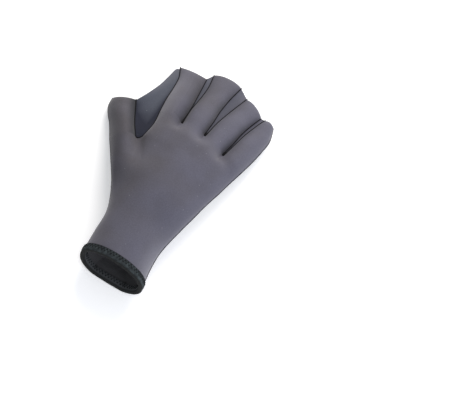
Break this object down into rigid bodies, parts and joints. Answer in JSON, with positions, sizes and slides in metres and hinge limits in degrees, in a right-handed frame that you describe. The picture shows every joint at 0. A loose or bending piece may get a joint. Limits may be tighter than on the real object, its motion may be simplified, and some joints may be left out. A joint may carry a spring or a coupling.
{
  "type": "webbed swim glove",
  "caption": "Right-hand neoprene swim glove with sheet webs between the fingers and thumb, a grippy palm and a taped open cuff, lying palm down.",
  "frame": {"origin": "centre of the glove's bounding box, on the plane that it lies on", "axes": "+X towards the little finger, +Y from the cuff to the finger tips, +Z out of the back of the hand"},
  "size_m": [0.1556, 0.2612, 0.0493],
  "materials": {
    "back_neoprene": "matte nylon jersey on neoprene foam, grey",
    "palm_grip_neoprene": "fine raised grip pattern, dark green grey",
    "wrist_neoprene": "matte nylon jersey on neoprene foam, grey",
    "web_neoprene": "matte nylon jersey on neoprene sheet, grey",
    "cuff_tape": "folded knitted tape, black"
  },
  "bodies": {
    "root": {"back_panel": "back_neoprene", "palm_panel": "palm_grip_neoprene", "wrist_panel": "wrist_neoprene", "web_thumb_index": "web_neoprene", "web_index_middle": "web_neoprene", "web_middle_ring": "web_neoprene", "web_ring_little": "web_neoprene", "cuff_binding": "cuff_tape"}
  },
  "joints": []
}
